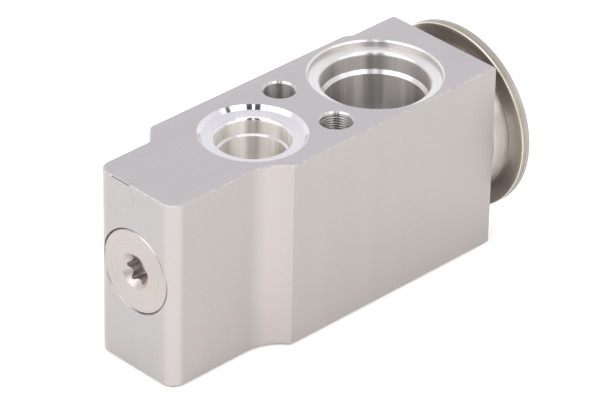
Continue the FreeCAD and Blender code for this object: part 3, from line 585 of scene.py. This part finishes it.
def makeMouldedMaterial(name, values):
    material, tree, shader = newMaterial(name)
    place = objectPlace(tree)
    grain, cloud = noise(tree, place, values["grain"], 4), noise(tree, place, 300.0, 2)
    pale = tuple(min(1.0, part * 1.5) for part in values["colour"][:3]) + (1.0,)
    clouded = blendColour(tree, remap(tree, cloud, 0.35, 0.65, 0.0, 0.4), values["colour"], pale)
    # paler edges: partly wear, partly a painted highlight
    wornAndLit = useGroup(tree, edgeWearAndHighlight, Place=place, Radius=0.00008)["Mask"]
    final = blendColour(tree, product(tree, wornAndLit, 0.5), clouded, pale)
    tree.links.new(final, shader.inputs["Base Color"])
    low, high = values["roughness"] - 0.06, values["roughness"] + 0.08
    tree.links.new(spread(tree, grain, low, high), shader.inputs["Roughness"])
    addBump(tree, shader, grain, values["bump"], 0.00003)
    return material


for name, values in mouldedPieces.items():
    material = makeMouldedMaterial(name, values)
    for node in values["nodes"]:
        dress(node, material)
print("seals and sleeve finished")


# surface from points[row, column]; columns wrap, rows wrap too or end in a point at both ends
def gridMesh(name, points, ringed=True):
    rows, columns = points.shape[:2]
    row, column = np.meshgrid(np.arange(rows if ringed else rows - 1), np.arange(columns), indexing="ij")
    after, beside = (row + 1) % rows, (column + 1) % columns
    faces = np.stack([row * columns + column, row * columns + beside,
                      after * columns + beside, after * columns + column], axis=-1).reshape(-1, 4)
    mesh = bpy.data.meshes.new(name)
    mesh.from_pydata(points.reshape(-1, 3), [], faces)
    shell = bmesh.new()
    shell.from_mesh(mesh)
    bmesh.ops.remove_doubles(shell, verts=shell.verts, dist=1e-7)
    bmesh.ops.recalc_face_normals(shell, faces=shell.faces)
    shell.to_mesh(mesh)
    shell.free()
    mesh.polygons.foreach_set("use_smooth", np.ones(len(mesh.polygons), bool))
    mesh.update()
    piece = bpy.data.objects.new(name, mesh)
    bpy.context.scene.collection.objects.link(piece)
    return piece


thread = {
    "centre": (0.0, -0.0074),
    "top": 0.03762,
    "bottom": 0.0236,
    "pitch": 0.0005,
    "wall": 0.002992,
    "crest": 0.00275,
    "runout": 0.0006,       # height over which the thread fades in at the mouth
    "around": 72,
    "stepsPerTurn": 8,
    "play": 0.00001,        # between the sleeve's two walls at the thread's roots
    "colour": paint(164, 161, 160),
    "edge": paint(196, 193, 191),
}


# sleeve: radius = wall - depth * tooth(height / pitch - angle / turn), closed by a plain outer wall
def makeThread(values):
    height = values["top"] - values["bottom"]
    rows = int(height / values["pitch"] * values["stepsPerTurn"])
    level = np.linspace(0, 1, rows)[:, None]
    angle = np.linspace(0, 2 * np.pi, values["around"], endpoint=False)[None, :]
    lift = values["bottom"] + level * height + 0 * angle
    phase = (lift / values["pitch"] - angle / (2 * np.pi)) % 1.0
    tooth = np.clip(1.35 - 2.9 * np.abs(phase - 0.5), 0, 1)
    fade = np.clip((values["top"] - lift) / values["runout"], 0, 1)
    radius = values["wall"] - values["play"] - (values["wall"] - values["crest"]) * tooth * fade
    wall = np.full((2, values["around"]), values["wall"])
    radius = np.vstack([radius, wall])
    lift = np.vstack([lift, lift[-1:], lift[:1]])
    points = np.stack([values["centre"][0] + radius * np.cos(angle),
                       values["centre"][1] + radius * np.sin(angle), lift], axis=-1)
    return gridMesh("tapped_thread", points)


def makeThreadMaterial(values):
    material, tree, shader = newMaterial("cutThread")
    place = objectPlace(tree, (*values["centre"], 0))
    cut = useGroup(tree, turningMarks, Place=place, Pitch=0.00009, Waver=0.5)
    toned = scaled(tree, values["colour"][:3], spread(tree, cut["Tone"], 0.9, 1.06))
    # lighter edges: partly wear, partly a painted highlight
    wornAndLit = useGroup(tree, edgeWearAndHighlight, Place=place, Radius=0.00004)["Mask"]
    final = blendColour(tree, product(tree, wornAndLit, 0.4), toned, values["edge"])
    tree.links.new(final, shader.inputs["Base Color"])
    tree.links.new(spread(tree, cut["Tone"], 0.2, 0.3), shader.inputs["Roughness"])
    shader.inputs["Metallic"].default_value = 1.0
    addBump(tree, shader, cut["Height"], 0.2, 0.00001)
    return material


threadPiece = makeThread(thread)
threadPiece.data.materials.append(makeThreadMaterial(thread))
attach(threadPiece, "valve_body")
print("thread made")


collar = {
    "backToNeck": 0.0061,       # from the neck's end to the block's end face
    "passage": 0.0058,
    "neck": 0.0100,
    "neckBevel": 0.0005,
    "frontRadius": 0.0142,
    "backRadius": 0.0148,
    "frontReach": 0.0006,       # how far the front corner is rounded back
    "edgeReach": 0.00025,
    "flange": 0.0026,
    "lip": 0.0001,              # more than the back radius, where it closes the gap under the cover
    "lipDepth": 0.00047,
    "lipInner": 0.0142,
    "seat": 0.0133,             # the cover rests on the flange inside this radius
    "recess": 0.0122,
    "recessDepth": 0.00085,
    "around": 256,
}


# each corner becomes a parabola from a to b, a reach away on its sides: (1-t)^2 a + 2t(1-t) corner + t^2 b
def roundCorners(corners, reaches, steps=7):
    before = corners - np.roll(corners, 1, axis=0)
    after = np.roll(corners, -1, axis=0) - corners
    before /= np.linalg.norm(before, axis=1, keepdims=True)
    after /= np.linalg.norm(after, axis=1, keepdims=True)
    start, finish = corners - before * reaches, corners + after * reaches
    share = np.linspace(0, 1, steps)[None, :, None]
    curve = ((1 - share) ** 2 * start[:, None] + 2 * share * (1 - share) * corners[:, None]
             + share ** 2 * finish[:, None])
    support = 0.00002       # one more ring just past each curve keeps the straight runs flat
    lead, tail = start - before * support, finish + after * support
    return np.concatenate([lead[:, None], curve, tail[:, None]], axis=1).reshape(-1, 2)


# profile (along, radius) carried round the valve axis: (along, radius cos, height + radius sin)
def carriedRound(name, profile, around):
    angle = np.linspace(0, 2 * np.pi, around, endpoint=False)[None, :]
    along, radius = profile[:, :1] + 0 * angle, profile[:, 1:]
    points = np.stack([along, radius * np.cos(angle), axisHeight + radius * np.sin(angle)], axis=-1)
    return gridMesh(name, points)


def makeCollar(values):
    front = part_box("threaded_collar")[0][0] + values["backToNeck"]
    back, fine, neckBevel = front - values["backToNeck"], values["edgeReach"], values["neckBevel"]
    inner = front + values["flange"] - values["recessDepth"]
    outline = (     # along, radius, and reach of the rounding
        (back, values["passage"], fine / 2),
        (back, values["neck"], neckBevel),
        (front, values["neck"], fine / 4),
        (front, values["frontRadius"], values["frontReach"]),
        (front + values["flange"] - fine, values["backRadius"], fine),
        (front + values["flange"] + values["lipDepth"], values["backRadius"] + values["lip"], fine / 2),
        (front + values["flange"] + values["lipDepth"], values["lipInner"], fine / 4),
        (front + values["flange"], values["seat"], fine / 4),
        (front + values["flange"], values["recess"], fine / 2),
        (inner, values["recess"], fine / 4),
        (inner, values["passage"], fine / 2),
    )
    outline = np.array(outline)
    return carriedRound("collar_ring", roundCorners(outline[:, :2], outline[:, 2:]), values["around"])


collarPiece = makeCollar(collar)
collarPiece.data.materials.append(finishes["threaded_collar"])
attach(collarPiece, "valve_body")
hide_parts("threaded_collar")
print("collar made")


spring = {
    "wire": 0.0013,
    "middle": 0.00395,      # radius of the coil's middle line
    "pitch": 0.00247,
    "closedTurns": 0.75,    # at each end, where one turn lies on the next
    "meeting": 3.23,        # turns from the screw to the place where its two lengths meet
    "perTurn": 40,
    "aroundWire": 16,
}


# wire round a helix: centre = (rise(turn), middle cos, middle sin), ring = wire / 2 across the heading
def springLength(name, values, firstTurn, lastTurn):
    start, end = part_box("superheat_spring")[0][0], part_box("superheat_spring")[1][0]
    wire, closed, middle = values["wire"], values["closedTurns"], values["middle"]
    travel = end - start - wire
    turns = 2 * closed + (travel - 2 * closed * wire) / values["pitch"]
    lastTurn = turns if lastTurn is None else lastTurn
    turn = np.linspace(firstTurn, lastTurn, int((lastTurn - firstTurn) * values["perTurn"]))
    stations = (0, closed, turns - closed, turns)
    rise = np.interp(turn, stations, (0, closed * wire, travel - closed * wire, travel))
    angle = 2 * np.pi * turn
    outward = np.stack([0 * angle, np.cos(angle), np.sin(angle)], axis=-1)
    centre = np.array([start + wire / 2, 0, axisHeight]) + middle * outward
    centre[:, 0] += rise
    heading = np.gradient(centre, axis=0)
    heading /= np.linalg.norm(heading, axis=1, keepdims=True)
    across = np.cross(heading, outward)
    ends = np.r_[0, 0, np.arange(len(turn)), len(turn) - 1, len(turn) - 1]
    size = np.r_[0, 0.8, np.ones(len(turn)), 0.8, 0] * wire / 2     # the ends close in a flat disc
    around = np.linspace(0, 2 * np.pi, values["aroundWire"], endpoint=False)[None, :, None]
    ring = outward[ends][:, None] * np.cos(around) + across[ends][:, None] * np.sin(around)
    return gridMesh(name, centre[ends][:, None] + ring * size[:, None, None], ringed=False)


def makeSpring(values):
    screwSide = springLength("spring_screw_side", values, 0, values["meeting"])
    carrierSide = springLength("spring_carrier_side", values, values["meeting"], None)
    for piece in (screwSide, carrierSide):
        piece.data.materials.append(finishes["superheat_spring"])
        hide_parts("superheat_spring")
    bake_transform(screwSide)
    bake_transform(carrierSide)


makeSpring(spring)
print("spring made")


# pale floor, white surroundings, and a bright screen behind the camera
studio = {
    "floor": paint(250, 249, 248),
    "floorSize": 6.0,
    "towardsCamera": -134.8,    # degrees from +X, seen from above
    "horizon": 1.15,
    "zenith": 0.75,
    "floorSeen": 0.25,          # glow that whitens the floor for the camera, and a little for the metal
    "floorMirrored": 0.07,
    "gapShare": 0.96,
    "screen": {"side": -4, "halfWidth": 84, "height": 44, "halfHeight": 26, "soft": 10, "strength": 1.2},
    "gaps": (                   # both sides of the camera's stand and the joint between two screens
        {"side": 12, "halfWidth": 8.5, "height": 36, "halfHeight": 30, "soft": 3},
        {"side": -12, "halfWidth": 8.5, "height": 36, "halfHeight": 30, "soft": 3},
        {"side": 67, "halfWidth": 5.5, "height": 46, "halfHeight": 10, "soft": 4},
    ),
    "lamps": {"overhead": {"place": (0.1, 0.1, 1.4), "size": 1.0, "power": 1.2}},
}


def makeFloor(values):
    half = values["floorSize"] / 2
    mesh = bpy.data.meshes.new("studioFloor")
    corners = [(-half, -half, 0), (half, -half, 0), (half, half, 0), (-half, half, 0)]
    mesh.from_pydata(corners, [], [(0, 1, 2, 3)])
    floor = bpy.data.objects.new("studioFloor", mesh)
    floor.location.z = -0.0002
    bpy.context.scene.collection.objects.link(floor)
    material, tree, shader = newMaterial("paleFloor")
    shader.inputs["Base Color"].default_value = values["floor"]
    shader.inputs["Roughness"].default_value = 0.9
    shader.inputs["Specular IOR Level"].default_value = 0.0
    path = addNode(tree, "ShaderNodeLightPath").outputs
    mirrored = product(tree, path["Is Glossy Ray"], values["floorMirrored"])
    glow = calc(tree, "MULTIPLY_ADD", path["Is Camera Ray"], values["floorSeen"], mirrored)
    shader.inputs["Emission Color"].default_value = (1, 1, 1, 1)
    tree.links.new(glow, shader.inputs["Emission Strength"])
    mesh.materials.append(material)


def makeWorld(values):
    world = bpy.data.worlds.new("studioWorld")
    world.use_nodes = True
    tree = world.node_tree
    tree.nodes.clear()
    way = addNode(tree, "ShaderNodeTexCoord").outputs["Generated"]
    turn = (0, 0, math.radians(-values["towardsCamera"]))
    parts = separate(tree, addNode(tree, "ShaderNodeMapping", {"Vector": way, "Rotation": turn}).outputs[0])
    side = calc(tree, "DEGREES", calc(tree, "ARCTAN2", parts[1], parts[0]))
    height = calc(tree, "DEGREES", calc(tree, "ARCSINE", parts[2]))

    # 1 inside a soft-edged window of the sky
    def patch(spot):
        shares = []
        for angle, middle, half in ((side, spot["side"], spot["halfWidth"]),
                                    (height, spot["height"], spot["halfHeight"])):
            away = calc(tree, "ABSOLUTE", calc(tree, "SUBTRACT", angle, middle))
            shares.append(remap(tree, away, half - spot["soft"] / 2, half + spot["soft"] / 2, 1.0, 0.0))
        return product(tree, *shares)

    screen = product(tree, patch(values["screen"]), values["screen"]["strength"])
    sky = calc(tree, "ADD", remap(tree, height, 0, 90, values["horizon"], values["zenith"]), screen)
    for gap in values["gaps"]:
        sky = product(tree, sky, calc(tree, "MULTIPLY_ADD", patch(gap), -values["gapShare"], 1.0))
    path = addNode(tree, "ShaderNodeLightPath").outputs
    strength = blendValue(tree, path["Is Camera Ray"], sky, 1.0)
    glow = addNode(tree, "ShaderNodeBackground", {"Color": (1, 1, 1, 1), "Strength": strength})
    output = tree.nodes.new("ShaderNodeOutputWorld")
    tree.links.new(glow.outputs[0], output.inputs["Surface"])
    bpy.context.scene.world = world


def makeLamp(name, values):
    lamp = bpy.data.lights.new(name, "AREA")
    lamp.shape = "DISK"
    lamp.size = values["size"]
    lamp.energy = values["power"]
    holder = bpy.data.objects.new(name, lamp)
    holder.location = values["place"]
    holder.rotation_mode = "QUATERNION"
    holder.rotation_quaternion = (-Vector(values["place"])).to_track_quat("-Z", "Y")
    bpy.context.scene.collection.objects.link(holder)


makeFloor(studio)
makeWorld(studio)
for name, values in studio["lamps"].items():
    makeLamp(name, values)
print("studio lit")
